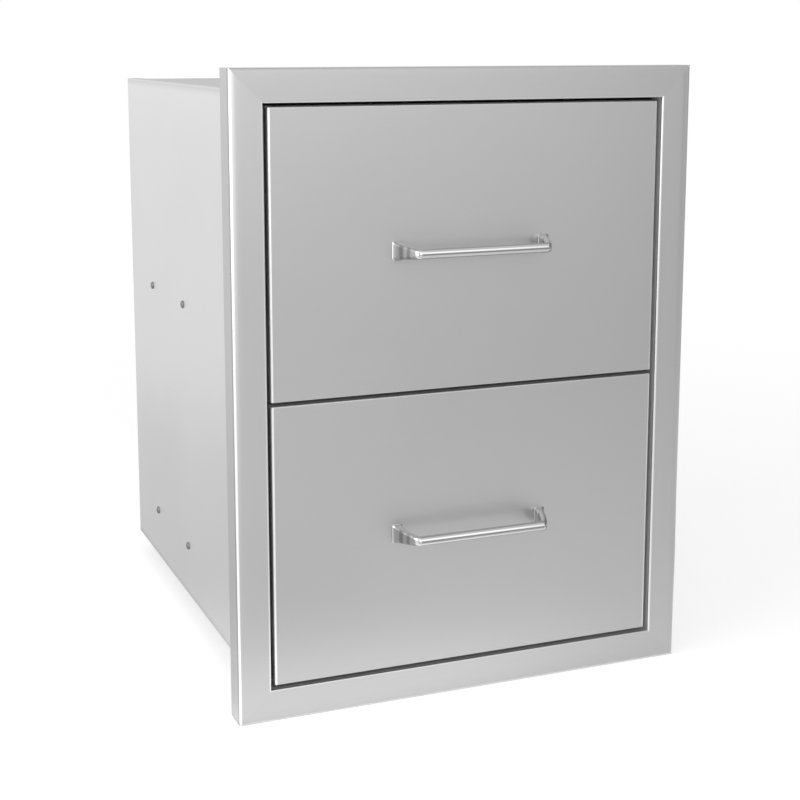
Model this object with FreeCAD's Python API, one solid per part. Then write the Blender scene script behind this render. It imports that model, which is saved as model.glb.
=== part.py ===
# Built-in double drawer unit of folded stainless sheet for an outdoor kitchen.
# Millimetres, +Z up, front towards -Y. The origin is in the middle of the bottom rail's
# seating lip, in the plane that rests against the face of the masonry.
import FreeCAD
import Part
import math
import os

# Front frame
frame_width = 482.6
frame_height = 628.0
frame_depth = 31.0
frame_border = 32.0
frame_sheet = 1.2
frame_outer_bend = 3.0
frame_inner_bend = 2.6
opening_return = 20.0
seat_lip = 12.0

# Housing
housing_overhang = 21.5
housing_sheet = 1.0
housing_bend = 2.0
housing_flange = 15.0
wall_screw_radius = 2.75
wall_screw_front = 55.0
wall_screw_pitch_y = 60.0
wall_screw_low = 140.0
wall_screw_pitch_z = 360.0

# Drawer faces
face_side_gap = 4.0
face_gap = 3.0
face_recess = 2.0
face_thickness = 20.0
face_sheet = 1.0
face_bend = 2.6

# Drawer boxes
box_sheet = 1.0
box_bend = 2.0
box_lift = 18.0
box_top_gap = 43.0
box_end_gap = 26.0
box_hem = 10.0
box_hem_edge = 0.1
box_flange = 12.0

# Telescopic slides
slide_length = 500.0
slide_height = 45.0
slide_thickness = 12.7
slide_setback = 36.0
slide_back_gap = 34.0
slide_lift = 46.5
slide_sheet = 1.2
slide_bend = 1.8
outer_race_gap = 3.8
outer_web_gap = 1.2
outer_flange_gap = 3.1
inner_race_gap = 4.0
inner_web_gap = 1.3
inner_flange_gap = 2.3
middle_setback = 3.0
drawer_member_end_gap = 10.0
bumper_length = 8.0
bumper_end_gap = 18.7
bumper_clearance = 0.3
bumper_side_clearance = 0.5
bumper_round = 1.0

# Ball retainers
retainer_sheet = 0.5
retainer_bend = 0.9
retainer_edge_gap = 1.0
ball_clearance = 0.3
ball_hole_clearance = 0.2
outer_retainer_start = 145.0
outer_retainer_length = 170.0
inner_retainer_start = 155.0
inner_retainer_length = 190.0
balls_per_row = 5

# Slide screws. Their places are shares of the slide's length from its front end.
screw_shank_radius = 2.0
screw_clearance = 0.1
cabinet_screw_shares = (0.072, 0.552, 0.848)
cabinet_screw_head_radius = 4.3
cabinet_screw_head_height = 2.4
countersink_radius = 3.1
countersink_lip = 0.1
drawer_screw_shares = (0.06, 0.46, 0.9)
drawer_screw_head_radius = 3.6
drawer_screw_head_height = 1.8
drawer_screw_head_round = 1.0

# Handles
bar_radius = 4.75
bar_half_length = 66.0
bar_projection = 31.0
spigot_radius = 2.2
spigot_length = 3.2
spigot_clearance = 0.1
foot_offset = 10.0
foot_width = 15.0
foot_height = 19.0
foot_thickness = 1.6
foot_corner = 2.2
handle_screw_radius = 2.0
handle_screw_depth = 9.0
handle_screw_tip_clearance = 0.5
handle_screw_head_radius = 4.0
handle_screw_head_height = 2.2
handle_screw_head_round = 1.1

# Sections of a handle bracket from the foot to the bar: share of the way across and forward, turn in
# degrees, width in bar diameters, share of the foot's extra height, and corner rounding
bracket_sections = (
    (0.0, 0.0, 0, 1.36, 0.95, 0.48),
    (0.04, 0.145, 0, 0.93, 0.77, 0.66),
    (0.07, 0.29, 0, 0.79, 0.66, 0.77),
    (0.09, 0.516, 0, 0.78, 0.43, 0.81),
    (0.22, 0.742, 28, 0.84, 0.22, 0.875),
    (0.52, 0.916, 62, 0.95, 0.07, 0.93),
    (1.0, 1.0, 90, 1.0, 0.0, 0.96),
)

# Construction
overcut = 1.0
tolerance = 0.01
coincident = 1e-6

# Reference planes worked out from the sizes above
front_y = -frame_depth
slide_front = front_y + slide_setback
back_y = slide_front + slide_length + slide_back_gap + 2 * housing_sheet
bottom_z = -seat_lip / 2
top_z = bottom_z + frame_height
frame_half = frame_width / 2
opening_half = frame_half - frame_border
opening_bottom = bottom_z + frame_border
opening_top = top_z - frame_border
wall_inner = opening_half + frame_sheet
wall_outer = wall_inner + housing_sheet
housing_front = front_y + frame_inner_bend
panel_half = wall_outer - housing_bend
housing_bottom = bottom_z + housing_overhang
housing_top = top_z - housing_overhang
face_half = opening_half - face_side_gap
face_height = (opening_top - opening_bottom - 3 * face_gap) / 2
face_front = front_y + face_recess
face_back = face_front + face_thickness
face_bottoms = {
    "lower": opening_bottom + face_gap,
    "upper": opening_bottom + 2 * face_gap + face_height,
}
box_half = wall_inner - slide_thickness
box_height = face_height - box_lift - box_top_gap
box_depth = slide_front + slide_length - box_end_gap - face_back
foot_centre = bar_half_length + foot_offset

# Slide members nest inside one another: how far each reaches from the housing wall, and how tall it is
outer_flange = slide_thickness - outer_flange_gap
middle_near = slide_sheet + outer_web_gap
middle_far = slide_thickness - inner_flange_gap
middle_height = slide_height - 2 * slide_sheet - 2 * outer_race_gap
bumper_start = slide_front + slide_length - bumper_end_gap - bumper_length
middle_length = bumper_start - bumper_clearance - slide_front - middle_setback
inner_near = middle_near + slide_sheet + inner_web_gap
inner_height = middle_height - 2 * slide_sheet - 2 * inner_race_gap
inner_length = slide_length - drawer_member_end_gap


def vec(x, y, z):
    return FreeCAD.Vector(x, y, z)


def block(x0, x1, y0, y1, z0, z1):
    return Part.makeBox(x1 - x0, y1 - y0, z1 - z0, vec(x0, y0, z0))


def rod(radius, start, direction, length):
    return Part.makeCylinder(radius, length, start, direction)


def mirrored(shape):
    return shape.mirror(vec(0, 0, 0), vec(1, 0, 0))


def save(name, *solids):
    pieces = [piece for solid in solids for piece in solid.Solids]
    shape = pieces[0] if len(pieces) == 1 else Part.makeCompound(pieces)
    shape.exportStep("parts/" + name + ".step")
    print(name, len(pieces), "solids", round(shape.Volume / 1000, 2), "cm3", shape.isValid())


# A closed outline from corners (u, v, radius), with an arc at each corner that has a radius.
def outline(corners, place):
    edges = []
    starts = []
    ends = []
    count = len(corners)
    for i in range(count):
        u, v, radius = corners[i]
        before = corners[i - 1]
        after = corners[(i + 1) % count]
        back = (before[0] - u, before[1] - v)
        ahead = (after[0] - u, after[1] - v)
        back_length = math.hypot(*back)
        ahead_length = math.hypot(*ahead)
        back = (back[0] / back_length, back[1] / back_length)
        ahead = (ahead[0] / ahead_length, ahead[1] / ahead_length)
        if radius <= 0:
            starts.append((u, v))
            ends.append((u, v))
            continue
        half = math.acos(max(-1, min(1, back[0] * ahead[0] + back[1] * ahead[1]))) / 2
        cut = radius / math.tan(half)
        lift = radius / math.sin(half) - radius
        middle = (back[0] + ahead[0], back[1] + ahead[1])
        size = math.hypot(*middle)
        starts.append((u + back[0] * cut, v + back[1] * cut))
        ends.append((u + ahead[0] * cut, v + ahead[1] * cut))
        top = (u + middle[0] / size * lift, v + middle[1] / size * lift)
        edges.append(Part.Arc(place(*starts[i]), place(*top), place(*ends[i])).toShape())
    for i in range(count):
        a = place(*ends[i - 1])
        b = place(*starts[i])
        if a.distanceToPoint(b) > coincident:
            edges.append(Part.LineSegment(a, b).toShape())
    return Part.Wire(Part.__sortEdges__(edges))


def prism(corners, place, run):
    return Part.Face(outline(corners, place)).extrude(run)


# The section of a folded sheet. line is the path of one of its faces, and the sheet lies to its left.
def folded(line, sheet, bend):
    near = []
    far = []
    last = len(line) - 1
    for i, (u, v) in enumerate(line):
        steps = []
        if i > 0:
            steps.append((u - line[i - 1][0], v - line[i - 1][1]))
        if i < last:
            steps.append((line[i + 1][0] - u, line[i + 1][1] - v))
        normals = [(-b / math.hypot(a, b), a / math.hypot(a, b)) for a, b in steps]
        if len(normals) == 1:
            shift = normals[0]
            near.append((u, v, 0))
            far.append((u + shift[0] * sheet, v + shift[1] * sheet, 0))
            continue
        first, second = normals
        share = 1 + first[0] * second[0] + first[1] * second[1]
        shift = ((first[0] + second[0]) / share, (first[1] + second[1]) / share)
        left_turn = steps[0][0] * steps[1][1] - steps[0][1] * steps[1][0] > 0
        near.append((u, v, bend if left_turn else bend - sheet))
        far.append((u + shift[0] * sheet, v + shift[1] * sheet, bend - sheet if left_turn else bend))
    return near + far[::-1]


# Front frame: four folded rails, mitred at the corners.
# u runs from the outer edge towards the opening, v from the front face to the back.
def rail_section():
    width = frame_border
    depth = frame_depth
    outer = frame_outer_bend
    inner = frame_inner_bend
    sheet = frame_sheet
    return [
        (seat_lip, depth, 0),
        (0, depth, 0),
        (0, 0, outer),
        (width, 0, inner),
        (width, opening_return, 0),
        (width - sheet, opening_return, 0),
        (width - sheet, sheet, inner - sheet),
        (sheet, sheet, outer - sheet),
        (sheet, depth - sheet, 0),
        (seat_lip, depth - sheet, 0),
    ]


def mitred(shape, corners):
    points = [vec(x, front_y, z) for x, z in corners + corners[:1]]
    wedge = Part.Face(Part.makePolygon(points)).extrude(vec(0, frame_depth, 0))
    return shape.common(wedge)


def make_frame():
    section = rail_section()
    half = frame_half
    border = frame_border
    stile = prism(section, lambda u, v: vec(u - half, front_y + v, bottom_z), vec(0, 0, frame_height))
    stile = mitred(stile, [
        (-half, bottom_z),
        (border - half, bottom_z + border),
        (border - half, top_z - border),
        (-half, top_z),
    ])
    save("frame_left_stile", stile)
    save("frame_right_stile", mirrored(stile))
    rail = prism(section, lambda u, v: vec(-half, front_y + v, bottom_z + u), vec(frame_width, 0, 0))
    rail = mitred(rail, [
        (-half, bottom_z),
        (half, bottom_z),
        (half - border, bottom_z + border),
        (border - half, bottom_z + border),
    ])
    save("frame_bottom_rail", rail)
    middle = (bottom_z + top_z) / 2
    save("frame_top_rail", rail.mirror(vec(0, 0, middle), vec(0, 0, 1)))


# Housing: side panels with folded flanges, and flat panels fixed inside those flanges.
def housing_side():
    inset = wall_outer - housing_flange
    section = folded(
        [
            (-inset, housing_top),
            (-wall_outer, housing_top),
            (-wall_outer, housing_bottom),
            (-inset, housing_bottom),
        ],
        housing_sheet,
        housing_bend,
    )
    length = back_y - housing_bend - housing_front
    side = prism(section, lambda u, v: vec(u, housing_front, v), vec(0, length, 0))
    back_section = folded(
        [
            (-inset, back_y),
            (-wall_outer, back_y),
            (-wall_outer, back_y - housing_flange),
        ],
        housing_sheet,
        housing_bend,
    )
    relief = 2 * housing_bend
    height = housing_top - housing_bottom - 2 * relief
    back = prism(back_section, lambda u, v: vec(u, v, housing_bottom + relief), vec(0, 0, height))
    side = side.fuse(back).removeSplitter()
    for y in wall_screw_ys():
        for z in wall_screw_zs():
            side = side.cut(wall_screw_hole(y, z))
    for z in slide_heights():
        for y in cabinet_screw_ys():
            side = side.cut(cabinet_screw_hole(y, z))
    return side


def wall_screw_ys():
    first = front_y + wall_screw_front
    return (first, first + wall_screw_pitch_y)


def wall_screw_zs():
    first = bottom_z + wall_screw_low
    return (first, first + wall_screw_pitch_z)


def wall_screw_hole(y, z):
    start = vec(-wall_outer - overcut, y, z)
    return rod(wall_screw_radius, start, vec(1, 0, 0), housing_sheet + 2 * overcut)


def make_housing():
    side = housing_side()
    save("housing_left_side", side)
    save("housing_right_side", mirrored(side))
    sheet = housing_sheet
    floor = block(-panel_half, panel_half, housing_front, back_y - sheet,
                  housing_bottom + sheet, housing_bottom + 2 * sheet)
    save("housing_bottom", floor)
    roof = block(-panel_half, panel_half, housing_front, back_y - sheet,
                 housing_top - 2 * sheet, housing_top - sheet)
    save("housing_top", roof)
    back = block(-panel_half, panel_half, back_y - 2 * sheet, back_y - sheet,
                 housing_bottom + 2 * sheet, housing_top - 2 * sheet)
    save("housing_back", back)


# Telescopic slides. u runs from the housing wall towards the drawer, v up from the slide's middle.
def slide_heights():
    return [face_bottoms[level] + slide_lift for level in ("lower", "upper")]


def cabinet_screw_ys():
    return [slide_front + share * slide_length for share in cabinet_screw_shares]


def drawer_screw_ys():
    return [slide_front + share * slide_length for share in drawer_screw_shares]


def channel(near, far, height, sheet, bend):
    return folded([(far, height / 2), (near, height / 2), (near, -height / 2), (far, -height / 2)],
                  sheet, bend)


def slide_piece(section, start, length, z):
    return prism(section, lambda u, v: vec(u - wall_inner, start, z + v), vec(0, length, 0))


def cabinet_screw_hole(y, z):
    radius = screw_shank_radius + screw_clearance
    length = housing_sheet + slide_sheet + 2 * overcut
    return rod(radius, vec(-wall_outer - overcut, y, z), vec(1, 0, 0), length)


def cabinet_screw(y, z):
    inner_face = -wall_inner + slide_sheet
    depth = slide_sheet - countersink_lip
    shank = rod(screw_shank_radius, vec(-wall_outer, y, z), vec(1, 0, 0), inner_face + wall_outer)
    cone = Part.makeCone(screw_shank_radius, countersink_radius, depth,
                         vec(inner_face - depth, y, z), vec(1, 0, 0))
    radius = cabinet_screw_head_radius
    height = cabinet_screw_head_height
    dome_radius = (radius ** 2 + height ** 2) / (2 * height)
    ball = Part.makeSphere(dome_radius, vec(-wall_outer - height + dome_radius, y, z))
    cap = ball.common(rod(2 * radius, vec(-wall_outer, y, z), vec(-1, 0, 0), height + overcut))
    return shank.fuse(cone).fuse(cap).removeSplitter()


def cabinet_member(z):
    member = slide_piece(channel(0, outer_flange, slide_height, slide_sheet, slide_bend),
                         slide_front, slide_length, z)
    inner_face = -wall_inner + slide_sheet
    depth = slide_sheet - countersink_lip
    for y in cabinet_screw_ys():
        member = member.cut(cabinet_screw_hole(y, z))
        cone = Part.makeCone(screw_shank_radius + screw_clearance, countersink_radius + screw_clearance,
                             depth, vec(inner_face - depth, y, z), vec(1, 0, 0))
        member = member.cut(cone)
    return member


def middle_member(z):
    section = channel(middle_near, middle_far, middle_height, slide_sheet, slide_bend)
    return slide_piece(section, slide_front + middle_setback, middle_length, z)


def drawer_member(z):
    half = inner_height / 2
    section = folded(
        [
            (inner_near, -half),
            (slide_thickness, -half),
            (slide_thickness, half),
            (inner_near, half),
        ],
        slide_sheet,
        slide_bend,
    )
    member = slide_piece(section, slide_front, inner_length, z)
    for y in drawer_screw_ys():
        member = member.cut(drawer_screw_hole(y, z))
    return member


def drawer_screw_hole(y, z):
    radius = screw_shank_radius + screw_clearance
    start = -box_half - slide_sheet - overcut
    return rod(radius, vec(start, y, z), vec(1, 0, 0), slide_sheet + box_sheet + 2 * overcut)


def drawer_screw(y, z):
    head_face = -box_half + box_sheet
    shank = rod(screw_shank_radius, vec(-box_half - slide_sheet, y, z), vec(1, 0, 0), slide_sheet + box_sheet)
    head = rod(drawer_screw_head_radius, vec(head_face, y, z), vec(1, 0, 0), drawer_screw_head_height)
    rim = [edge for edge in head.Edges if edge.BoundBox.XMin > head_face + tolerance]
    head = head.makeFillet(drawer_screw_head_round, rim)
    return shank.fuse(head).removeSplitter()


def slide_bumper(z):
    reach = inner_near - bumper_side_clearance
    half = slide_height / 2 - slide_bend
    section = [
        (slide_sheet, -half, 0),
        (reach, -half, bumper_round),
        (reach, half, bumper_round),
        (slide_sheet, half, 0),
    ]
    return slide_piece(section, bumper_start, bumper_length, z)


# Two rows of balls run between two nested members, in the holes of a U-shaped retainer.
def retainer(web, web_gap, edge, member_height, race_gap, start, length, z):
    near = web + (web_gap - retainer_sheet) / 2
    far = edge - retainer_edge_gap
    row = (member_height + race_gap) / 2
    ball_radius = race_gap / 2 - ball_clearance
    height = 2 * row + retainer_sheet
    section = channel(near, far, height, retainer_sheet, retainer_bend)
    body = slide_piece(section, start, length, z)
    balls = []
    pitch = length / balls_per_row
    u = (near + far) / 2 + retainer_sheet
    for side in (-1, 1):
        for i in range(balls_per_row):
            centre = vec(u - wall_inner, start + pitch * (i + 0.5), z + side * row)
            below = centre - vec(0, 0, overcut)
            hole = rod(ball_radius + ball_hole_clearance, below, vec(0, 0, 1), 2 * overcut)
            body = body.cut(hole)
            balls.append(Part.makeSphere(ball_radius, centre))
    return body, balls


def outer_retainer(z):
    return retainer(slide_sheet, outer_web_gap, outer_flange, middle_height, outer_race_gap,
                    slide_front + outer_retainer_start, outer_retainer_length, z)


def inner_retainer(z):
    return retainer(middle_near + slide_sheet, inner_web_gap, middle_far, inner_height, inner_race_gap,
                    slide_front + inner_retainer_start, inner_retainer_length, z)


def make_slides(level):
    z = face_bottoms[level] + slide_lift
    cabinet = cabinet_member(z)
    save(level + "_left_cabinet_member", cabinet)
    save(level + "_right_cabinet_member", mirrored(cabinet))
    middle = middle_member(z)
    save(level + "_left_middle_member", middle)
    save(level + "_right_middle_member", mirrored(middle))
    drawer = drawer_member(z)
    save(level + "_left_drawer_member", drawer)
    save(level + "_right_drawer_member", mirrored(drawer))
    for kind, (body, balls) in (("outer", outer_retainer(z)), ("inner", inner_retainer(z))):
        save(level + "_" + kind + "_retainers", body, mirrored(body))
        save(level + "_" + kind + "_balls", *balls, *[mirrored(ball) for ball in balls])


def make_cabinet_fasteners():
    screws = [cabinet_screw(y, z) for z in slide_heights() for y in cabinet_screw_ys()]
    save("cabinet_slide_screws", *screws, *[mirrored(screw) for screw in screws])
    bumpers = [slide_bumper(z) for z in slide_heights()]
    save("slide_bumpers", *bumpers, *[mirrored(bumper) for bumper in bumpers])


# Drawer face: a pan folded back on four sides, open behind.
def pan(half, y0, y1, z0, z1, bend):
    body = block(-half, half, y0, y1, z0, z1)
    front = [edge for edge in body.Edges if edge.BoundBox.YMax < y0 + tolerance]
    return body.makeFillet(bend, front)


def handle_screw_xs():
    return (-foot_centre, foot_centre)


def face_skin(z0):
    z1 = z0 + face_height
    sheet = face_sheet
    outside = pan(face_half, face_front, face_back, z0, z1, face_bend)
    inside = pan(face_half - sheet, face_front + sheet, face_back + overcut, z0 + sheet, z1 - sheet,
                 face_bend - sheet)
    skin = outside.cut(inside)
    for x in handle_screw_xs():
        skin = skin.cut(handle_screw_hole(x, z0 + face_height / 2))
    return skin


def face_liner(z0):
    half = face_half - face_sheet
    liner = block(-half, half, face_back - box_sheet, face_back,
                  z0 + face_sheet, z0 + face_height - face_sheet)
    for x in handle_screw_xs():
        liner = liner.cut(handle_screw_hole(x, z0 + face_height / 2))
    return liner


# Drawer box: side walls with a hemmed top edge and a bottom flange, a bottom laid on the flanges, a back.
def box_side(z0, slide_z):
    low = z0 + box_lift
    high = low + box_height
    wall = -box_half
    section = folded([(wall, high), (wall, low), (wall + box_flange, low)], box_sheet, box_bend)
    side = prism(section, lambda u, v: vec(u, face_back, v), vec(0, box_depth, 0))
    hem = [
        (wall + box_sheet, high - box_hem, 0),
        (wall + 2 * box_sheet, high - box_hem, 0),
        (wall + 2 * box_sheet, high, box_sheet - box_hem_edge),
        (wall + box_sheet, high, 0),
    ]
    side = side.fuse(prism(hem, lambda u, v: vec(u, face_back, v), vec(0, box_depth, 0))).removeSplitter()
    for y in drawer_screw_ys():
        side = side.cut(drawer_screw_hole(y, slide_z))
    return side


def box_bottom(z0):
    low = z0 + box_lift + box_sheet
    half = box_half - box_bend
    return block(-half, half, face_back, face_back + box_depth - box_sheet, low, low + box_sheet)


def box_back(z0):
    low = z0 + box_lift + 2 * box_sheet
    half = box_half - box_sheet
    high = z0 + box_lift + box_height - box_hem - 2 * box_sheet
    end = face_back + box_depth - box_sheet
    section = folded([(end, low), (end, high), (end - box_hem, high)], box_sheet, box_bend)
    return prism(section, lambda u, v: vec(-half, u, v), vec(2 * half, 0, 0))


# Handle: a round bar between two cast brackets that flare at the foot and turn inwards at the bar.
def handle_screw_hole(x, z):
    radius = handle_screw_radius + screw_clearance
    return rod(radius, vec(x, face_front - overcut, z), vec(0, 1, 0), face_thickness + 2 * overcut)


def bracket_ring(section, z):
    sideways, ahead, turn, wide, high, rounding = section
    diameter = 2 * bar_radius
    width = wide * diameter
    height = diameter + high * (foot_height - diameter)
    corner = rounding * min(width, height) / 2
    angle = math.radians(turn)
    across = vec(math.cos(angle), math.sin(angle), 0)
    x = -foot_centre + sideways * (foot_centre - bar_half_length)
    centre = vec(x, face_front - ahead * bar_projection, z)
    corners = [
        (-width / 2, -height / 2, corner),
        (width / 2, -height / 2, corner),
        (width / 2, height / 2, corner),
        (-width / 2, height / 2, corner),
    ]
    return outline(corners, lambda u, v: centre + across * u + vec(0, 0, v))


def bracket(z):
    body = Part.makeLoft([bracket_ring(section, z) for section in bracket_sections], True, False)
    foot = block(-foot_centre - foot_width / 2, -foot_centre + foot_width / 2,
                 face_front - foot_thickness, face_front, z - foot_height / 2, z + foot_height / 2)
    uprights = [edge for edge in foot.Edges if abs(edge.BoundBox.YLength - foot_thickness) < tolerance]
    foot = foot.makeFillet(foot_corner, uprights)
    whole = body.fuse(foot).removeSplitter()
    socket_start = vec(-bar_half_length + overcut, face_front - bar_projection, z)
    socket = rod(spigot_radius + spigot_clearance, socket_start, vec(-1, 0, 0),
                 spigot_length + spigot_clearance + overcut)
    thread = rod(handle_screw_radius + screw_clearance, vec(-foot_centre, face_front, z), vec(0, -1, 0),
                 handle_screw_depth + handle_screw_tip_clearance)
    return whole.cut(socket).cut(thread)


def handle_bar(z):
    y = face_front - bar_projection
    bar = rod(bar_radius, vec(-bar_half_length, y, z), vec(1, 0, 0), 2 * bar_half_length)
    reach = bar_half_length + spigot_length
    spigots = rod(spigot_radius, vec(-reach, y, z), vec(1, 0, 0), 2 * reach)
    return bar.fuse(spigots).removeSplitter()


def handle_screw(x, z):
    start = face_back
    length = face_thickness + handle_screw_depth
    shank = rod(handle_screw_radius, vec(x, start, z), vec(0, -1, 0), length)
    head = rod(handle_screw_head_radius, vec(x, start, z), vec(0, 1, 0), handle_screw_head_height)
    rim = [edge for edge in head.Edges if edge.BoundBox.YMin > start + tolerance]
    head = head.makeFillet(handle_screw_head_round, rim)
    return shank.fuse(head).removeSplitter()


def make_drawer(level):
    z0 = face_bottoms[level]
    slide_z = z0 + slide_lift
    middle = z0 + face_height / 2
    save(level + "_drawer_face", face_skin(z0))
    save(level + "_face_liner", face_liner(z0))
    side = box_side(z0, slide_z)
    save(level + "_box_left_side", side)
    save(level + "_box_right_side", mirrored(side))
    save(level + "_box_bottom", box_bottom(z0))
    save(level + "_box_back", box_back(z0))
    end = bracket(middle)
    save(level + "_handle_left_bracket", end)
    save(level + "_handle_right_bracket", mirrored(end))
    save(level + "_handle_bar", handle_bar(middle))
    screws = [drawer_screw(y, slide_z) for y in drawer_screw_ys()]
    save(level + "_box_slide_screws", *screws, *[mirrored(screw) for screw in screws])
    save(level + "_handle_screws", *[handle_screw(x, middle) for x in handle_screw_xs()])


os.makedirs("parts", exist_ok=True)
make_frame()
make_housing()
make_cabinet_fasteners()
for level in ("upper", "lower"):
    make_slides(level)
    make_drawer(level)
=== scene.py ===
# Stainless drawer unit for an outdoor kitchen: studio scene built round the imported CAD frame
import math
from collections import namedtuple

import bmesh
import bpy
from mathutils import Matrix, Vector


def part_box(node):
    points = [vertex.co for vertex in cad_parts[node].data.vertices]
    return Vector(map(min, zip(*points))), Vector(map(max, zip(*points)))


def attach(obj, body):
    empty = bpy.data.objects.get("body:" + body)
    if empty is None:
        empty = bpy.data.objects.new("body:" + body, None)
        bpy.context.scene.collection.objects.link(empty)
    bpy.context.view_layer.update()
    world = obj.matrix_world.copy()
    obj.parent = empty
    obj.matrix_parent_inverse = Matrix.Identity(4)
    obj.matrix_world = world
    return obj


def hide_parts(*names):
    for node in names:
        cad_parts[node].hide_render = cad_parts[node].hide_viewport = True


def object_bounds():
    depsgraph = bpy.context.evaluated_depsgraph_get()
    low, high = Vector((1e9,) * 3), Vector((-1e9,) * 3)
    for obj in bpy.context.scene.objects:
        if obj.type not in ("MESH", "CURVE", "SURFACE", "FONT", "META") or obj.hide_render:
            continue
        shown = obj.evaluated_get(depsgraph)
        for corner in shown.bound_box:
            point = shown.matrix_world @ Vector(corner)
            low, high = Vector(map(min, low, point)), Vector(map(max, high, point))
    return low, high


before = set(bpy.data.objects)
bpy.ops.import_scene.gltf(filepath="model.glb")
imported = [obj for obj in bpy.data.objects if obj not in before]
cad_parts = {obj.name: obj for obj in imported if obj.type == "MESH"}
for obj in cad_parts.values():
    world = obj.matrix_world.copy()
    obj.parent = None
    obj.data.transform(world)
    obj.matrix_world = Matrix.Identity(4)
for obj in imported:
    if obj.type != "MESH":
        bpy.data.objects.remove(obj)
cadBox = [list(corner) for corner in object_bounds()]
print("frame loaded,", len(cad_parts), "nodes")

levels = ("upper", "lower")
sides = {"left": 1, "right": -1}  # the left side is modelled, and the right side is its mirror image
mm = 0.001


def grey(tone, warmth=0.0):
    return (tone * (1 + warmth), tone, tone * (1 - warmth), 1.0)


class Wire:  # a shader socket that can be used in sums
    def __init__(self, finish, socket):
        self.finish = finish
        self.socket = socket

    def isVector(self):  # a colour counts as one, because a Math node would turn it grey
        return self.socket.type in ("VECTOR", "RGBA")

    def join(self, operation, other, swapped=False):
        pair = (other, self) if swapped else (self, other)
        kind = "VectorMath" if any(isinstance(one, Wire) and one.isVector() for one in pair) else "Math"
        return self.finish.node(kind, {"operation": operation}, dict(enumerate(pair)))

    def __add__(self, other):
        return self.join("ADD", other)

    def __radd__(self, other):
        return self.join("ADD", other, True)

    def __sub__(self, other):
        return self.join("SUBTRACT", other)

    def __rsub__(self, other):
        return self.join("SUBTRACT", other, True)

    def __mul__(self, other):
        return self.join("MULTIPLY", other)

    def __rmul__(self, other):
        return self.join("MULTIPLY", other, True)

    def __abs__(self):
        return self.join("ABSOLUTE", 0.0)

    def orMore(self, other):
        return self.join("MAXIMUM", other)

    def under(self, edge, softness, unit=1.0):  # 1 below the edge, 0 above it
        limits = {"From Min": edge * unit - softness * unit, "From Max": edge * unit + softness * unit}
        return self.finish.node("MapRange", {"interpolation_type": "SMOOTHSTEP"},
                                {"Value": self, **limits, "To Min": 1.0, "To Max": 0.0})


Point = namedtuple("Point", "x y z")


class Finish:  # the nodes of one material or of the world
    def __init__(self, name, owner=None):
        self.owner = owner or bpy.data.materials.new(name)
        self.owner.use_nodes = True
        self.tree = self.owner.node_tree
        self.tree.nodes.clear()

    def node(self, kind, settings=None, sockets=None, output=0):
        made = self.tree.nodes.new("ShaderNode" + kind)
        for key, value in (settings or {}).items():
            setattr(made, key, value)
        for key, value in (sockets or {}).items():
            if isinstance(value, Wire):
                self.tree.links.new(value.socket, made.inputs[key])
            else:
                made.inputs[key].default_value = value
        return Wire(self, made.outputs[output]) if made.outputs else None

    def place(self):  # in the object's own space, in metres
        return self.node("TexCoord", output="Object")

    def point(self):
        place = self.place()
        return Point(*[self.node("SeparateXYZ", sockets={"Vector": place}, output=axis) for axis in "XYZ"])

    def noise(self, across, along, detail, roughness, grain="x"):  # swings round 0, drawn out along the grain
        stretch = [across] * 3
        stretch["xyz".index(grain)] = along
        sockets = {"Vector": self.place() * stretch, "Scale": 1.0, "Detail": detail, "Roughness": roughness}
        return self.node("TexNoise", sockets=sockets) - 0.5

    def length(self, u, v):
        return self.node("Math", {"operation": "SQRT"}, {0: u * u + v * v})

    def blend(self, factor, low, high):  # 6, 7 and 2 are the Mix node's colour sockets
        return self.node("Mix", {"data_type": "RGBA"}, {0: factor, 6: low, 7: high}, output=2)

    def clouded(self, tone, swing, amount):  # the swing is a share of the tone
        return self.blend(0.5 + amount, grey(tone * (1 - swing)), grey(tone * (1 + swing)))

    def glow(self, color):
        return self.node("Emission", sockets={"Color": color, "Strength": 1.0})

    def seen(self):  # 1 where the camera or a reflection looks, 0 where light only bounces
        words = ("Is Camera Ray", "Is Glossy Ray", "Is Transmission Ray")
        camera, glossy, through = [self.node("LightPath", output=word) for word in words]
        return camera.orMore(glossy).orMore(through)

    def show(self, shader):
        self.node("OutputMaterial", sockets={"Surface": shader})
        return self.owner

    def surface(self, tone, rough, height, bump, depth, metallic=1.0):  # depth is in mm
        normal = self.node("Bump", sockets={"Height": height, "Strength": bump, "Distance": depth * mm})
        sockets = {"Base Color": tone, "Metallic": metallic, "Roughness": rough, "Normal": normal}
        return self.show(self.node("BsdfPrincipled", sockets=sockets))


# Each of these gives how far a point lies from the two folds of its sheet, in metres

def stileFolds(at):
    low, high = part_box("frame_left_stile")
    return -low.x - abs(at.x), abs(at.x) + high.x


def railFolds(at):
    low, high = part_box("frame_bottom_rail")
    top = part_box("frame_top_rail")[1].z
    away = abs(at.z - (low.z + top) / 2)
    half = (top - low.z) / 2
    return half - away, away - (half - (high.z - low.z))


def faceFolds(at):
    upper, lower = [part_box(level + "_drawer_face") for level in levels]
    middle = (upper[0].z + lower[1].z) / 2
    half = (upper[1].z - upper[0].z) / 2
    offset = (upper[1].z + upper[0].z) / 2 - middle
    return upper[1].x - abs(at.x), half - abs(abs(at.z - middle) - offset)


# How much of a painted tone a finish takes on at a point: painted highlights, painted reflections and painted
# shade. Each edge has a softness, and each band on a bracket's arm has its way forward and half its width,
# all in mm.
paintedLightSizes = {
    "fold": (4.2, 2.4), "foldTop": (300.0, 300.0),
    "barLine": (0.9, 0.6), "barFront": (2.5, 0.5), "barRear": (1.5, 1.5),
    "armBands": ((12.6, 2.9), (22.4, 2.1), (29.5, 2.6)), "bandSoft": 1.5, "rightSide": (0.0, 1.0),
    "flank": (0.6, 0.25),  # the share of the normal that points sideways, not in mm
}


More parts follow.
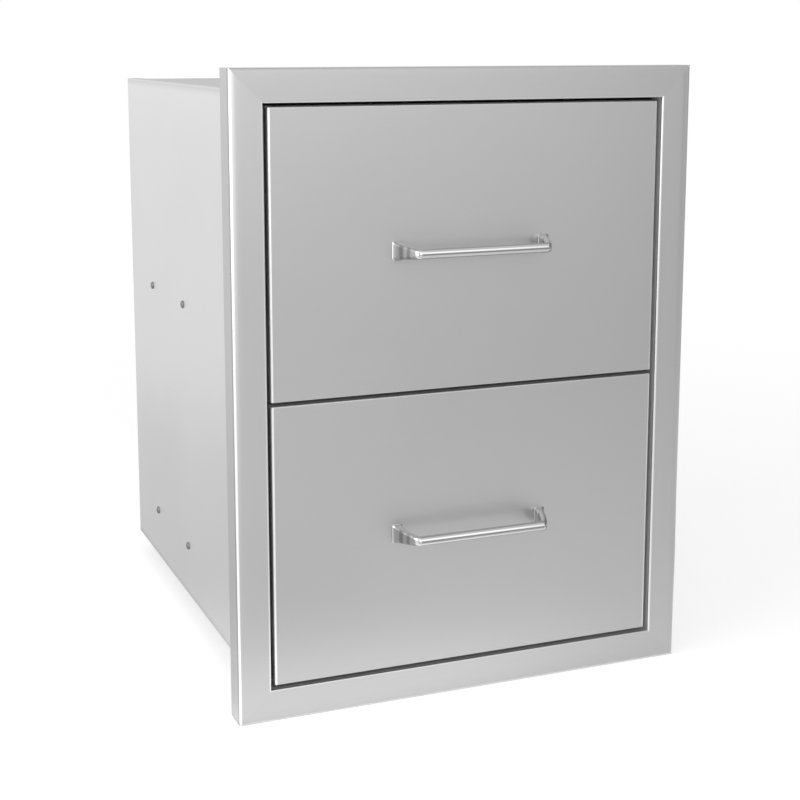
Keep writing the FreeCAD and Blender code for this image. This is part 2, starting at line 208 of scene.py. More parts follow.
def paintedFoldSheen(at):  # the sheet is a little round beside its outer fold, and a painted highlight there widens its sheen, more so towards the top
    return stileFolds(at)[0].under(*paintedLightSizes["fold"], mm) * (1 - at.z.under(*paintedLightSizes["foldTop"], mm))


def paintedBarReflection(at):  # a painted reflection: a thin dark line painted along the polished bar's front
    boxes = [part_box(level + "_handle_bar") for level in levels]
    heights = [(low.z + high.z) / 2 for low, high in boxes]
    offset = abs(abs(at.z - sum(heights) / 2) - (heights[0] - heights[1]) / 2)
    reach, softness = paintedLightSizes["barFront"]
    front = at.y.under((boxes[0][0].y + boxes[0][1].y) / 2 - reach * mm, softness * mm)
    return offset.under(*paintedLightSizes["barLine"], mm) * front


def paintedBarRearLight(at):  # painted light: the side towards the drawer face is painted brighter
    low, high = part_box("upper_handle_bar")
    reach, softness = paintedLightSizes["barRear"]
    return 1 - at.y.under((low.y + high.y) / 2 + reach * mm, softness * mm)


def paintedArmReflections(at):  # painted reflections: dark bands painted on the flanks of a bracket's arm, and on the right elbows
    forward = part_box("upper_drawer_face")[0].y - at.y
    bands = [abs(forward - middle * mm).under(half, paintedLightSizes["bandSoft"], mm)
             for middle, half in paintedLightSizes["armBands"]]
    elbow = bands[2] * (1 - at.x.under(*paintedLightSizes["rightSide"], mm))
    finish = at.x.finish
    normal = finish.node("NewGeometry", output="Normal")
    sideways = abs(finish.node("SeparateXYZ", sockets={"Vector": normal}, output="X"))
    return bands[0].orMore(bands[1]).orMore(elbow) * (1 - sideways.under(*paintedLightSizes["flank"]))


# A steel has a tone, its swing along the brush lines and in clouds, a roughness and its swing, and the depth
# of its lines in mm, and may list painted tones. A bent sheet has its front and bend in mm, the painted tones
# of its side, of a stripe behind the bend and of the slot at its edge, and for both folds a painted tone, a
# reach in mm and a change of roughness.
railLook = {"tone": 0.435, "swing": 0.03, "cloud": 0.025, "rough": 0.33, "roughSwing": 0.05, "depth": 0.03,
            "front": -31.0, "bend": 2.4, "side": 0.50, "paintedStripe": 0.48}
steelLooks = {
    "stile": {"tone": 0.45, "swing": 0.03, "cloud": 0.025, "rough": 0.40, "roughSwing": 0.05, "depth": 0.03,
              "front": -31.0, "bend": 2.4, "side": 0.48, "paintedStripe": 0.30, "slotLight": 0.70,
              "folds": ((0.88, 1.9, -0.12), (0.70, 1.8, -0.12)), "paintedLight": ((paintedFoldSheen, 0.60),)},
    # The rails share one steel and differ in painted light only: the bottom rail's outer fold is painted
    # brighter, the top rail's slot and inner fold brighter
    "topRail": dict(railLook, slotLight=0.85, folds=((0.44, 2.6, 0.25), (0.62, 1.3, -0.04))),
    "bottomRail": dict(railLook, slotLight=0.60, folds=((0.66, 2.6, 0.25), (0.52, 1.3, -0.04))),
    "face": {"tone": 0.435, "swing": 0.03, "cloud": 0.025, "rough": 0.38, "roughSwing": 0.05, "depth": 0.025,
             "front": -29.0, "bend": 2.6, "side": 0.58, "paintedStripe": 0.76, "slotLight": 0.50,
             "folds": ((0.80, 2.4, -0.06), (0.50, 1.2, -0.02))},
    "box": {"tone": 0.56, "swing": 0.03, "cloud": 0.05, "rough": 0.38, "roughSwing": 0.06, "depth": 0.03},
    "bar": {"tone": 0.50, "swing": 0.01, "cloud": 0.01, "rough": 0.13, "roughSwing": 0.02, "depth": 0.003,
            "paintedLight": ((paintedBarReflection, 0.26), (paintedBarRearLight, 0.92))},
    "bracket": {"tone": 0.54, "swing": 0.01, "cloud": 0.04, "rough": 0.07, "roughSwing": 0.02, "depth": 0.003,
                "paintedLight": ((paintedArmReflections, 0.32),)},
    "screw": {"tone": 0.22, "swing": 0.02, "cloud": 0.06, "rough": 0.32, "roughSwing": 0.06, "depth": 0.01},
    "ball": {"tone": 0.55, "swing": 0.01, "cloud": 0.02, "rough": 0.08, "roughSwing": 0.02, "depth": 0.001},
    "retainer": {"tone": 0.42, "swing": 0.03, "cloud": 0.06, "rough": 0.34, "roughSwing": 0.06,
                 "depth": 0.02},
}
brushLook = {  # noises with their steps per metre across and along the grain, and their shares
    "fine": {"across": 1500.0, "along": 14.0, "detail": 3.0, "roughness": 0.65},
    "broad": {"across": 260.0, "along": 5.0, "detail": 2.0, "roughness": 0.5},
    "cloud": {"across": 5.0, "along": 5.0, "detail": 3.0, "roughness": 0.55},
    "fineShare": 1.6, "broadShare": 0.15, "lineTone": 0.5, "cloudRough": 0.05, "bump": 0.3,
}
foldPaintLook = {  # where the painted tones start, behind the bend or from the fold, and their softness, in mm
    "behind": (0.2, 0.4), "paintedStripe": (3.6, 1.0), "slotLight": (1.7, 0.3), "foldSoft": 0.5, "slotRough": 0.3,
}


# Painted tones round a fold: painted light on the side behind the bend and in the slot, a stripe beside the
# bend in painted shade on stiles and rails and in painted light on the faces, and on most folds a painted
# highlight, which also changes the roughness
def paintedFoldTones(finish, look, paintZones, folds, tone, rough):
    at = finish.point()
    bent = look["front"] + look["bend"]
    onFront, paintedStripe = [at.y.under(bent + paintZones[word][0], paintZones[word][1], mm) for word in ("behind", "paintedStripe")]
    edges = folds(at)
    # painted light on the side and in the slot, and a painted stripe beside the bend
    slotLight = edges[1].under(*paintZones["slotLight"], mm) * (1 - onFront)
    tone = finish.blend(1 - onFront, tone, finish.blend(paintedStripe, grey(look["side"]), grey(look["paintedStripe"])))
    tone = finish.blend(slotLight, tone, grey(look["slotLight"]))
    rough = rough + slotLight * paintZones["slotRough"]
    # each fold takes a painted tone, mostly a painted highlight
    for away, (foldTone, reach, roughChange) in zip(edges, look["folds"]):
        onFold = away.under(reach, paintZones["foldSoft"], mm) * onFront
        tone = finish.blend(onFold, tone, grey(foldTone))
        rough = rough + onFold * roughChange
    return tone, rough


def brushedSteel(name, look, grain, folds=None):  # grain is the axis that the brush lines follow
    finish = Finish(name)
    fine, broad = [finish.noise(grain=grain, **brushLook[word]) for word in ("fine", "broad")]
    cloud = finish.noise(**brushLook["cloud"])
    lines = fine * brushLook["fineShare"] + broad * brushLook["broadShare"]
    amount = lines * brushLook["lineTone"] + cloud * (look["cloud"] / look["swing"])
    tone = finish.clouded(look["tone"], look["swing"], amount)
    rough = look["rough"] + lines * look["roughSwing"] + cloud * brushLook["cloudRough"]
    # painted light and shade: each painted mask blends in its painted tone
    for paintedMask, paintedTone in look.get("paintedLight", ()):
        tone = finish.blend(paintedMask(finish.point()), tone, grey(paintedTone))
    if folds:
        tone, rough = paintedFoldTones(finish, look, foldPaintLook, folds, tone, rough)
    return finish.surface(tone, rough, lines, brushLook["bump"], look["depth"])


# The shell sheets on top and bottom take a darker tone than the walls, a painted shade against the light on
# top
millLooks = {
    "wall": {"tone": 0.655, "swing": 0.03, "rough": 0.40, "roughSwing": 0.14},
    "back": {"tone": 0.58, "swing": 0.05, "rough": 0.40, "roughSwing": 0.18},
    "shell": {"tone": 0.44, "swing": 0.05, "rough": 0.52, "roughSwing": 0.16},
}
rollLook = {  # marks of the rolling mill, and their shares
    "cloud": {"across": 5.0, "along": 5.0, "detail": 4.0, "roughness": 0.6},
    "fine": {"across": 900.0, "along": 30.0, "detail": 2.0, "roughness": 0.6},
    "cloudTone": 1.4, "fineTone": 0.4, "cloudHeight": 0.14, "fineHeight": 0.02, "bump": 0.25, "depth": 0.5,
}
flangeLook = {"rim": 0.50, "edgeShadeReach": 5.0, "edgeShadeShare": 0.8, "tone": 0.46, "rougher": 0.14, "fold": 1.9,
              "foldSoft": 0.3, "weldPitch": 39.0, "weldRadius": 2.4, "weldSoft": 0.8, "weldTone": 0.26,
              "weldShare": 0.85}


def weldRow(finish, along, across, look):  # round spots at even steps
    pitch = look["weldPitch"] * mm
    step = finish.node("Math", {"operation": "PINGPONG"}, {0: along, 1: pitch}) - pitch / 2
    return finish.length(step, across).under(look["weldRadius"], look["weldSoft"], mm)


# The walls are painted darker towards their top and bottom edges, a painted shade. Their flanges take a
# darker tone, also painted shade, and are rougher, and they are spot-welded to the other sheets
def weldsAndEdgeShade(finish, look, tone, rough, height):
    at = finish.point()
    low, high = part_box("housing_left_side")
    middle = (low.z + high.z) / 2
    away = (high.z - low.z) / 2 - abs(at.z - middle)
    # painted shade towards the wall's top and bottom edges
    rim = away.under(look["edgeShadeReach"], look["edgeShadeReach"], mm)
    tone = finish.blend(look["edgeShadeShare"] * rim, tone, grey(look["rim"]))
    # painted shade: the flanges take a darker tone
    inside = abs(at.x).under(-low.x - look["fold"] * mm, look["foldSoft"] * mm)
    tone = finish.blend(inside, tone, grey(look["tone"]))
    across = abs(at.x) + (low.x + high.x) / 2
    upright = weldRow(finish, at.z - middle + look["weldPitch"] / 2 * mm, across, look)
    spot = weldRow(finish, at.y - high.y, across, look).orMore(upright)
    tone = finish.blend(look["weldShare"] * spot, tone, grey(look["weldTone"]))
    return tone, rough + inside * look["rougher"], height - spot


def millSteel(name, look, flange=None):
    finish = Finish(name)
    cloud = finish.noise(**rollLook["cloud"])
    fine = finish.noise(grain="y", **rollLook["fine"])
    amount = cloud * rollLook["cloudTone"] + fine * rollLook["fineTone"]
    tone = finish.clouded(look["tone"], look["swing"], amount)
    rough = look["rough"] + cloud * look["roughSwing"]
    height = fine * rollLook["fineHeight"] + cloud * rollLook["cloudHeight"]
    if flange:
        tone, rough, height = weldsAndEdgeShade(finish, flange, tone, rough, height)
    return finish.surface(tone, rough, height, rollLook["bump"], rollLook["depth"])


zincLook = {"tone": 0.52, "swing": 0.06, "warmth": (-0.02, -0.01), "rough": 0.30, "bump": 0.05, "depth": 0.02,
            "cloud": {"across": 30.0, "along": 30.0, "detail": 3.0, "roughness": 0.6},
            "spangle": 240.0, "spangleTone": 0.3, "spangleRough": 0.04}


def zincPlate(name, look):  # bright zinc with a faint spangle
    finish = Finish(name)
    sockets = {"Vector": finish.place(), "Scale": look["spangle"]}
    crystals = finish.node("TexVoronoi", sockets=sockets, output="Color")
    spangle = finish.node("SeparateColor", sockets={"Color": crystals}) - 0.5
    cloud = finish.noise(**look["cloud"])
    dark = grey(look["tone"] * (1 - look["swing"]), look["warmth"][0])
    pale = grey(look["tone"] * (1 + look["swing"]), look["warmth"][1])
    tone = finish.blend(0.5 + cloud + spangle * look["spangleTone"], dark, pale)
    rough = look["rough"] + spangle * look["spangleRough"]
    return finish.surface(tone, rough, cloud, look["bump"], look["depth"])


rubberLook = {"dark": 0.018, "pale": 0.032, "rough": 0.7, "roughSwing": 0.2, "bump": 0.3, "depth": 0.1,
              "grain": {"across": 900.0, "along": 900.0, "detail": 2.0, "roughness": 0.6}}


def blackRubber(name, look):
    finish = Finish(name)
    grain = finish.noise(**look["grain"])
    tone = finish.blend(0.5 + grain, grey(look["dark"]), grey(look["pale"]))
    rough = look["rough"] + grain * look["roughSwing"]
    return finish.surface(tone, rough, grain, look["bump"], look["depth"], metallic=0.0)


finishes = {
    "stile": brushedSteel("brushedStile", steelLooks["stile"], "z", stileFolds),
    "topRail": brushedSteel("brushedTopRail", steelLooks["topRail"], "x", railFolds),
    "bottomRail": brushedSteel("brushedBottomRail", steelLooks["bottomRail"], "x", railFolds),
    "face": brushedSteel("brushedFace", steelLooks["face"], "x", faceFolds),
    "wall": millSteel("millWall", millLooks["wall"], flangeLook),
    "back": millSteel("millBack", millLooks["back"]),
    "shell": millSteel("millShell", millLooks["shell"]),
    "box": brushedSteel("millBox", steelLooks["box"], "y"),
    "liner": brushedSteel("millLiner", steelLooks["box"], "x"),
    "slide": zincPlate("zincSlide", zincLook),
    "bar": brushedSteel("polishedBar", steelLooks["bar"], "x"),
    "bracket": brushedSteel("polishedBracket", steelLooks["bracket"], "y"),
    "screw": brushedSteel("screwSteel", steelLooks["screw"], "y"),
    "ball": brushedSteel("ballSteel", steelLooks["ball"], "x"),
    "retainer": brushedSteel("retainerSteel", steelLooks["retainer"], "y"),
    "bumper": blackRubber("bumperRubber", rubberLook),
}
print("finishes made,", len(finishes))


def makePiece(name, mesh, finish, body, nodes, sharp=35):  # edges over so many degrees stay crisp
    bmesh.ops.recalc_face_normals(mesh, faces=mesh.faces)
    data = bpy.data.meshes.new(name)
    mesh.to_mesh(data)
    mesh.free()
    data.polygons.foreach_set("use_smooth", [True] * len(data.polygons))
    data.set_sharp_from_angle(angle=math.radians(sharp))
    data.materials.append(finishes[finish])
    piece = bpy.data.objects.new(name, data)
    bpy.context.scene.collection.objects.link(piece)
    weight = piece.modifiers.new("flatFaces", "WEIGHTED_NORMAL")
    weight.keep_sharp = True
    weight.weight = 100
    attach(piece, body)
    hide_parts(*nodes)


def roundCorners(corners, steps):  # corners are (u, v, radius), and each radius becomes an arc
    points = []
    for index, (u, v, radius) in enumerate(corners):
        here = Vector((u, v))
        if radius <= 0:
            points.append(here)
            continue
        before = (Vector(corners[index - 1][:2]) - here).normalized()
        after = (Vector(corners[(index + 1) % len(corners)][:2]) - here).normalized()
        half = before.angle(after) / 2
        centre = here + (before + after).normalized() * radius / math.sin(half)
        start = here + before * radius / math.tan(half) - centre
        end = here + after * radius / math.tan(half) - centre
        turn = math.copysign(math.pi - 2 * half, start.x * end.y - start.y * end.x)
        for step in range(steps + 1):
            angle = turn * step / steps
            points.append(centre + Vector((start.x * math.cos(angle) - start.y * math.sin(angle),
                                           start.x * math.sin(angle) + start.y * math.cos(angle))))
    return points


def roundedBox(half, bottom, top, radius, steps):
    corners = [(-half, bottom, radius), (half, bottom, radius), (half, top, radius), (-half, top, radius)]
    return roundCorners(corners, steps)


def circle(count):  # angles at even steps
    return [2 * math.pi * step / count for step in range(count)]


def skin(mesh, rings):  # joins rings of equally many points into one closed surface
    rows = [[mesh.verts.new(point) for point in ring] for ring in rings]
    for one, two in zip(rows, rows[1:]):
        for i in range(len(one)):
            j = (i + 1) % len(one)
            mesh.faces.new((one[i], one[j], two[j], two[i]))
    mesh.faces.new(rows[0][::-1])
    mesh.faces.new(rows[-1])


# Front frame: four folded channels, mitred at the corners. Beside the outer fold the front falls back a
# little, and the corner under that fold lies so many times further back.
frameSizes = {"sheet": 1.2, "outerBend": 2.4, "rearBend": 0.4, "innerBend": 1.6, "return": 20.0, "lip": 12.0,
              "seam": 0.015, "fallFrom": 2.8, "cornerFall": 1.9, "fallSteps": 8, "arcSteps": 10,
              "stile": (0.36, 10.0), "rail": (0.04, 9.0)}  # how far it falls back, and where that ends


def frameSection(sizes, member, border, depth):
    sheet, inner = sizes["sheet"], sizes["innerBend"]
    fall, fallTo = sizes[member]
    shares = [step / sizes["fallSteps"] for step in range(sizes["fallSteps"] + 1)]
    span = fallTo - sizes["fallFrom"]
    corners = [
        (sizes["lip"], depth, 0),
        (0, depth, sizes["rearBend"]),
        (0, fall * sizes["cornerFall"], sizes["outerBend"]),
        *[(sizes["fallFrom"] + span * share, fall * (1 - share) ** 2, 0) for share in shares],
        (border, 0, inner),
        (border, sizes["return"], 0),
        (border - sheet, sizes["return"], 0),
        (border - sheet, sheet, inner - sheet),
        (sheet, sheet + fall, sizes["outerBend"] - sheet),
        (sheet, depth - sheet, 0),
        (sizes["lip"], depth - sheet, 0),
    ]
    return [point * mm for point in roundCorners(corners, sizes["arcSteps"])]


def makeFrame(sizes):
    low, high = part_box("frame_left_stile")
    left, front, bottom = low
    top = high.z
    border = (high.x - low.x) / mm
    depth = (high.y - front) / mm
    seam = sizes["seam"] * mm
    section = frameSection(sizes, "stile", border, depth)
    for word, side in sides.items():
        mesh = bmesh.new()
        skin(mesh, [[Vector((side * (left + u), front + v, bottom + u + seam)) for u, v in section],
                    [Vector((side * (left + u), front + v, top - u - seam)) for u, v in section]])
        makePiece(word + "Stile", mesh, "stile", "housing", ["frame_" + word + "_stile"])
    section = frameSection(sizes, "rail", border, depth)
    for word, edge, inward in (("bottom", bottom, 1), ("top", top, -1)):
        mesh = bmesh.new()
        skin(mesh, [[Vector((left + u + seam, front + v, edge + inward * u)) for u, v in section],
                    [Vector((-left - u - seam, front + v, edge + inward * u)) for u, v in section]])
        rail = word + "Rail"
        makePiece(rail, mesh, rail, "housing", ["frame_" + word + "_rail"])


makeFrame(frameSizes)
print("front frame made")


# Drawer faces: shallow folded pans, whose top and bottom bend tighter than their sides
faceSizes = {"sheet": 1.0, "bend": 2.6, "bendSteps": 10, "flatter": 0.6, "corner": 1.6, "leastCorner": 0.15,
             "cornerSteps": 5}


def faceLoop(low, high, y, inset, sizes):
    radius = max(sizes["corner"] * mm - inset, sizes["leastCorner"] * mm)
    rise = inset * sizes["flatter"]
    points = roundedBox(high.x - inset, low.z + rise, high.z - rise, radius, sizes["cornerSteps"])
    return [Vector((point.x, y, point.y)) for point in points]


def bendRings(front, offset, radius, angles):  # each is a depth and an inset
    return [(front + offset + radius * (1 - math.cos(angle)), offset + radius * (1 - math.sin(angle)))
            for angle in angles]


def makeFace(level, sizes):
    low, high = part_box(level + "_drawer_face")
    bend, sheet = sizes["bend"] * mm, sizes["sheet"] * mm
    angles = [math.pi / 2 * step / sizes["bendSteps"] for step in range(sizes["bendSteps"] + 1)]
    rings = [*bendRings(low.y, 0.0, bend, angles), (high.y, 0.0), (high.y, sheet),
             *bendRings(low.y, sheet, bend - sheet, angles[::-1])]
    mesh = bmesh.new()
    skin(mesh, [faceLoop(low, high, y, inset, sizes) for y, inset in rings])
    makePiece(level + "Face", mesh, "face", level + "_drawer", [level + "_drawer_face"])


for level in levels:
    makeFace(level, faceSizes)
print("drawer faces made")


# Handles: a bar between two cast brackets, each with a thin foot, a flared arm and a tight elbow
bracketSizes = {
    "rings": [  # sideways from the handle's middle, forward, turn in degrees, width, height, corner
        (78.0, 0.0, 0, 11.0, 19.0, 2.4),
        (78.0, 0.8, 0, 11.0, 19.0, 2.4),
        (78.0, 1.05, 0, 10.7, 18.7, 2.3),
        (77.9, 1.25, 0, 10.3, 18.3, 2.3),
        (77.7, 1.7, 0, 10.0, 17.9, 2.4),
        (77.4, 2.6, 1, 9.4, 17.4, 2.5),
        (77.1, 3.8, 2, 8.8, 16.8, 2.6),
        (76.7, 5.6, 5, 8.2, 16.1, 2.6),
        (76.1, 8.6, 9, 7.5, 15.2, 2.7),
        (75.2, 12.6, 13, 6.9, 14.1, 2.8),
        (73.9, 16.8, 16, 6.7, 13.1, 2.9),
        (72.4, 20.8, 19, 6.6, 12.2, 3.0),
        (70.9, 24.4, 26, 6.7, 11.4, 3.1),
        (69.7, 27.1, 42, 7.2, 10.7, 3.5),
        (68.4, 29.3, 65, 8.7, 10.25, 4.1),
        (67.2, 30.55, 81, 9.3, 9.95, 4.6),
        (66.3, 30.9, 90, 9.5, 9.9, 4.75),
        (66.0, 30.9, 90, 9.0, 9.3, 4.4),
    ],
    "between": 3,
    "cornerSteps": 9,
    "leastFlat": 0.02,  # half of what stays straight between two corners
}
barSizes = {"radius": 4.75, "half": 66.0, "bevel": 0.3, "forward": 31.0, "segments": 48,
            "spigot": 2.2, "spigotReach": 69.1}


def refine(rows, between):  # adds rows on a smooth line through the given ones
    finer = []
    for i in range(len(rows) - 1):
        four = [rows[max(i - 1, 0)], rows[i], rows[i + 1], rows[min(i + 2, len(rows) - 1)]]
        for step in range(between):
            t = step / between
            finer.append([0.5 * (2 * b + (c - a) * t + (2 * a - 5 * b + 4 * c - d) * t ** 2
                                 + (3 * b - a - 3 * c + d) * t ** 3) for a, b, c, d in zip(*four)])
    finer.append(list(rows[-1]))
    return finer


def bracketRing(row, side, front, z, sizes):
    x, forward, turn, width, height, corner = row
    across = Vector((math.cos(math.radians(turn)), math.sin(math.radians(turn)), 0))
    corner = min(corner, width / 2 - sizes["leastFlat"], height / 2 - sizes["leastFlat"])
    ring = []
    for point in roundedBox(width / 2, -height / 2, height / 2, corner, sizes["cornerSteps"]):
        spot = Vector((-x, -forward, 0)) + across * point.x + Vector((0, 0, point.y))
        ring.append(Vector((side * spot.x * mm, front + spot.y * mm, z + spot.z * mm)))
    return ring


def makeBracket(level, word, front, z, sizes):
    rows = refine(sizes["rings"], sizes["between"])
    mesh = bmesh.new()
    skin(mesh, [bracketRing(row, sides[word], front, z, sizes) for row in rows])
    makePiece(level + word.title() + "Bracket", mesh, "bracket", level + "_drawer",
              [level + "_handle_" + word + "_bracket"], sharp=50)


def makeBar(level, front, z, sizes):
    half, radius, bevel = sizes["half"], sizes["radius"], sizes["bevel"]
    profile = [(-sizes["spigotReach"], sizes["spigot"]), (-half, sizes["spigot"]), (-half, radius - bevel),
               (-half + bevel, radius)]
    profile += [(-x, away) for x, away in profile[::-1]]
    mesh = bmesh.new()
    skin(mesh, [[Vector((x * mm, front + (away * math.cos(angle) - sizes["forward"]) * mm,
                         z + away * math.sin(angle) * mm)) for angle in circle(sizes["segments"])]
                for x, away in profile])
    makePiece(level + "Bar", mesh, "bar", level + "_drawer", [level + "_handle_bar"])


def makeHandle(level):
    low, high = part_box(level + "_handle_bar")
    z = (low.z + high.z) / 2
    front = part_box(level + "_drawer_face")[0].y
    for word in sides:
        makeBracket(level, word, front, z, bracketSizes)
    makeBar(level, front, z, barSizes)


for level in levels:
    makeHandle(level)
print("handles made")


# Screws with domed heads and a pressed cross, each on its shank.
# Along a slide they sit at shares of its length.
screwSizes = {
    "cabinet_slide_screws": {"radius": 4.3, "height": 2.4, "length": 2.2, "shares": (0.072, 0.552, 0.848)},
    "handle_screws": {"radius": 4.0, "height": 2.2, "length": 20.0},
    "box_slide_screws": {"radius": 3.6, "height": 1.8, "length": 2.2, "shares": (0.06, 0.46, 0.9)},
}
headSizes = {  # rings, rim and cross are shares of the head's radius or height, and dome is a power
    "shank": 2.0, "segments": 48, "dome": 2.6, "rim": 0.22,
    "rings": (1.0, 0.985, 0.95, 0.89, 0.81, 0.72, 0.64, 0.56, 0.49, 0.42, 0.36, 0.30, 0.25, 0.20, 0.15,
              0.10, 0.04),
    "crossWide": 0.17, "crossSlope": 0.05, "crossReach": 0.56, "endSlope": 0.10, "crossDeep": 0.42,
}


def crossDip(u, v, head):  # how deep the cross is pressed at a point of the head
    arms = 0.0
    for along, beside in ((u, v), (v, u)):
        inside = min(max((head["crossWide"] - abs(beside)) / head["crossSlope"], 0.0), 1.0)
        ends = min(max((head["crossReach"] - abs(along)) / head["endSlope"], 0.0), 1.0)
        arms = max(arms, inside * ends)
    return arms * head["crossDeep"]


def addScrew(mesh, place, out, sizes, head):  # place is where the head sits, and out points to its crown
    radius, height, shank = sizes["radius"] * mm, sizes["height"] * mm, head["shank"] * mm
    across = Vector((0, 0, 1))
    beside = out.cross(across)
    angles = circle(head["segments"])
    spokes = [across * math.cos(angle) + beside * math.sin(angle) for angle in angles]
    rings = [[place + spoke * shank - out * sizes["length"] * mm for spoke in spokes],
             [place + spoke * shank for spoke in spokes],
             [place + spoke * radius for spoke in spokes]]
    for share in head["rings"]:
        rise = (1 - share ** head["dome"]) ** (1 / head["dome"]) * (1 - head["rim"]) + head["rim"]
        rings.append([place + spoke * radius * share + out * height
                      * (rise - crossDip(math.cos(angle) * share, math.sin(angle) * share, head))
                      for angle, spoke in zip(angles, spokes)])
    skin(mesh, rings)


def makeScrews(name, node, body, places, sizes):  # places are (point, direction out of the head)
    mesh = bmesh.new()
    for place, out in places:
        addScrew(mesh, Vector(place), Vector(out), sizes, headSizes)
    makePiece(name, mesh, "screw", body, [node], sharp=50)


def alongSlide(level, x, shares):  # in pairs, one on either side of the unit
    low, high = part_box(level + "_left_cabinet_member")
    return [((side * x, low.y + share * (high.y - low.y), (low.z + high.z) / 2), (-side, 0, 0))
            for share in shares for side in sides.values()]


def makeHandleScrews(level, sizes):
    low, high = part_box(level + "_handle_screws")
    x = high.x - sizes["radius"] * mm
    seat = high.y - sizes["height"] * mm
    places = [((side * x, seat, (low.z + high.z) / 2), (0, 1, 0)) for side in sides.values()]
    makeScrews(level + "HandleScrews", level + "_handle_screws", level + "_drawer", places, sizes)


def makeAllScrews(sizes):
    cabinet, box = sizes["cabinet_slide_screws"], sizes["box_slide_screws"]
    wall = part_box("housing_left_side")[0].x
    cabinetPlaces = []
    for level in levels:
        cabinetPlaces += alongSlide(level, wall, cabinet["shares"])
        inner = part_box(level + "_box_slide_screws")[0].x + box["height"] * mm
        places = alongSlide(level, inner, box["shares"])
        makeScrews(level + "BoxScrews", level + "_box_slide_screws", level + "_drawer", places, box)
        makeHandleScrews(level, sizes["handle_screws"])
    makeScrews("cabinetScrews", "cabinet_slide_screws", "housing", cabinetPlaces, cabinet)


makeAllScrews(screwSizes)
print("screws made")


# Parts that keep their CAD shape get the finish of the first word that is in their name
dressing = [
    ("housing_back", "back"), ("housing_left", "wall"), ("housing_right", "wall"), ("housing", "shell"),
    ("liner", "liner"), ("box_back", "liner"), ("screws", "screw"), ("box_", "box"),
    ("member", "slide"), ("balls", "ball"), ("retainers", "retainer"), ("bumpers", "bumper"),
]
for name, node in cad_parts.items():
    for word, finish in dressing:
        if word in name:
            node.data.materials.clear()
            node.data.materials.append(finishes[finish])
            break
print("other parts dressed")


# Studio. Its sizes are in metres, and azimuths are degrees to the left of the front.
floorLook = {"half": 9.0, "segments": 4, "tone": 0.72, "swing": 0.01, "lift": 0.45,
             "grain": {"across": 40.0, "along": 40.0, "detail": 2.0, "roughness": 0.5},
             "nearMiddle": 0.25, "near": (1.25, 0.65), "farTone": 1.0}
skyLook = {"tone": 1.0, "fill": 0.6}  # as the camera and reflections see it, and as light
upward = (0, 90)  # azimuth and elevation

# Only reflections see the cards. A card is solid up to its core, a share of its size, and thins out beyond.
cardLooks = {
    "frontShade": {"place": (0.95, -1.5, 0.001), "half": (1.3, 1.25), "tone": 0.78, "core": 0.2},
    "nearShine": {"place": (-0.2, -0.10, 0.003), "half": (0.6, 0.155), "tone": 1.5, "core": 0.25},
    "leftShade": {"place": (-0.14, -0.34, 0.002), "half": (0.3, 0.34), "tone": 0.9, "core": 0.1},
    "rearShade": {"place": (-0.38, 0.81, 0.001), "half": (0.38, 0.95), "tone": 0.75, "core": 0.5},
    "rightShade": {"place": (1.0, -0.42, 0.7), "half": (0.62, 0.85), "tone": 0.25, "core": 0.6,
                   "facing": (270, 0)},
    "rightMat": {"place": (0.60, -0.10, 0.003), "half": (0.20, 0.22), "tone": 0.25, "core": 0.5},
    "gapShade": {"place": (-0.74, -0.67, 0.45), "half": (0.09, 0.7), "tone": 0.15, "core": 0.4,
                 "facing": (227, 0)},
    "gapMat": {"place": (-0.42, -0.38, 0.003), "half": (0.05, 0.22), "tone": 0.5, "core": 0.4, "turn": 47},
}
lampMiddle = Vector((0, 0.1, 0.3))
lampLooks = {
    "leftBox": {"azimuth": 80, "elevation": 20, "distance": 2.3, "size": (2.4, 2.4), "bright": 1.5},
    "frontBox": {"azimuth": 3, "elevation": 28, "distance": 2.6, "size": (3.0, 1.7), "bright": 1.1},
    "lowBox": {"azimuth": 21, "elevation": 9, "distance": 3.0, "size": (2.2, 1.4), "bright": 0.8},
    "backBox": {"azimuth": 152, "elevation": 22, "distance": 2.6, "size": (2.2, 1.6), "bright": 0.25},
}


def toward(azimuth, elevation):  # direction from the unit
    a, e = math.radians(azimuth), math.radians(elevation)
    return Vector((-math.sin(a) * math.cos(e), -math.cos(a) * math.cos(e), math.sin(e)))


def flatSheet(name, half, segments):
    mesh = bmesh.new()
    bmesh.ops.create_grid(mesh, x_segments=segments, y_segments=segments, size=half)
    data = bpy.data.meshes.new(name)
    mesh.to_mesh(data)
    mesh.free()
    sheet = bpy.data.objects.new(name, data)
    bpy.context.scene.collection.objects.link(sheet)
    return sheet


def layFloor(look, sky):
    floor = flatSheet("floor", look["half"], look["segments"])
    floor.location.z = cadBox[0][2]
    paper = Finish("palePaper")
    at = paper.point()
    # Far from the unit the paper is plain white, so that no horizon shows
    far = 1 - paper.length(at.x, at.y - look["nearMiddle"]).under(*look["near"])
    dark, pale = grey(look["tone"] - look["swing"]), grey(look["tone"] + look["swing"])
    tone = paper.blend(0.5 + paper.noise(**look["grain"]), dark, pale)
    matte = paper.node("BsdfDiffuse", sockets={"Color": tone})
    seen = paper.seen()
    lift = paper.glow(paper.blend(seen, grey(0.0), grey(look["lift"])))
    near = paper.node("AddShader", sockets={0: matte, 1: lift})
    white = paper.glow(paper.blend(seen, grey(sky["fill"]), grey(look["farTone"])))
    floor.data.materials.append(paper.show(paper.node("MixShader", sockets={0: far, 1: near, 2: white})))


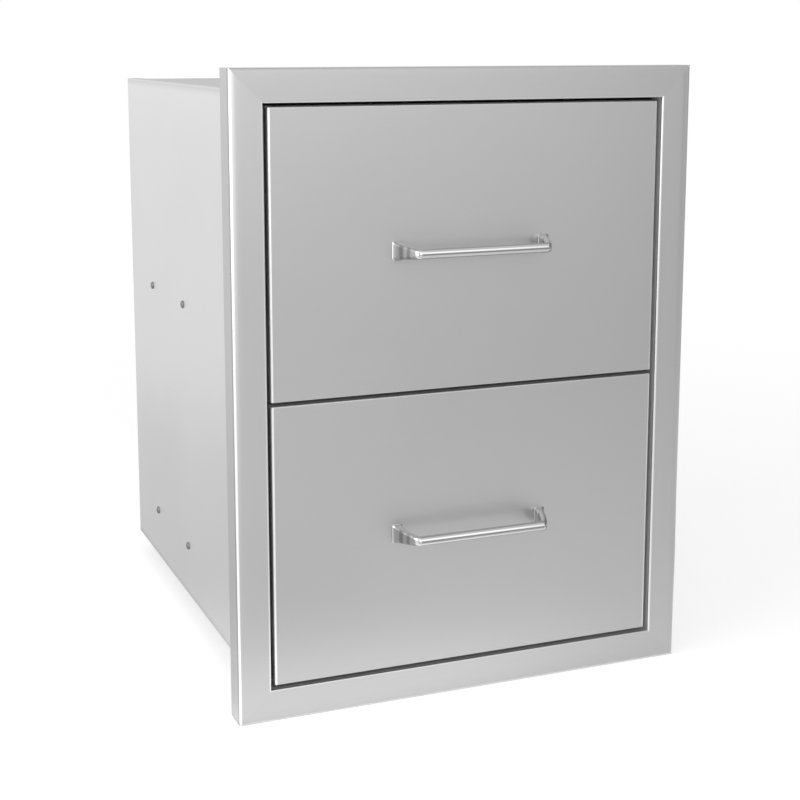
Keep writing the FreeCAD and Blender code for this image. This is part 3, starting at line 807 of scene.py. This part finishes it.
def hangCard(name, look):
    card = flatSheet(name, 1.0, 1)
    card.location = Vector(look["place"]) + Vector((0, 0, cadBox[0][2]))
    card.rotation_euler = toward(*look.get("facing", upward)).to_track_quat("Z", "Y").to_euler()
    card.rotation_euler.rotate_axis("Z", math.radians(-look.get("turn", 0)))
    card.scale = (*look["half"], 1.0)
    card.visible_camera = False
    card.visible_diffuse = False
    card.visible_shadow = False
    cloth = Finish(name)
    at = cloth.point()
    core = look["core"]
    solid = cloth.length(at.x, at.y).under((1 + core) / 2, (1 - core) / 2)
    sockets = {0: solid, 1: cloth.node("BsdfTransparent"), 2: cloth.glow(grey(look["tone"]))}
    card.data.materials.append(cloth.show(cloth.node("MixShader", sockets=sockets)))


def lightSky(world, look):
    sky = Finish(world.name, world)
    color = sky.blend(sky.seen(), grey(look["fill"]), grey(look["tone"]))
    background = sky.node("Background", sockets={"Color": color, "Strength": 1.0})
    sky.node("OutputWorld", sockets={"Surface": background})


def hangLamp(name, look):
    light = bpy.data.lights.new(name, "AREA")
    light.shape = "RECTANGLE"
    light.size, light.size_y = look["size"]
    light.energy = look["bright"] * math.pi * look["size"][0] * look["size"][1]
    holder = bpy.data.objects.new(name, light)
    away = toward(look["azimuth"], look["elevation"])
    holder.location = lampMiddle + away * look["distance"]
    holder.rotation_euler = away.to_track_quat("Z", "Y").to_euler()
    holder.visible_camera = False
    bpy.context.scene.collection.objects.link(holder)


def makeStudio():
    scene = bpy.context.scene
    layFloor(floorLook, skyLook)
    for name, look in cardLooks.items():
        hangCard(name, look)
    scene.world = bpy.data.worlds.new("studio")
    lightSky(scene.world, skyLook)
    for name, look in lampLooks.items():
        hangLamp(name, look)
    scene.view_settings.view_transform = "Standard"


makeStudio()
print("studio made")


# Camera at the photograph's viewing angle, in metres, degrees and mm
cameraSizes = {"place": (-0.6206, -1.3885, 0.6457), "azimuth": 21.875, "elevation": 9.499, "nearest": 0.05,
               "farthest": 60.0, "lens": 69.59, "sensor": 36.0, "shiftY": -0.125}


def makeCamera(sizes):
    data = bpy.data.cameras.new("camera")
    data.sensor_width = sizes["sensor"]
    data.lens = sizes["lens"]
    data.shift_y = sizes["shiftY"]
    data.clip_start = sizes["nearest"]
    data.clip_end = sizes["farthest"]
    camera = bpy.data.objects.new("camera", data)
    turn = toward(sizes["azimuth"], sizes["elevation"]).to_track_quat("Z", "Y")
    camera.matrix_world = Matrix.Translation(sizes["place"]) @ turn.to_matrix().to_4x4()
    bpy.context.scene.collection.objects.link(camera)
    bpy.context.scene.camera = camera


makeCamera(cameraSizes)
print("camera set")
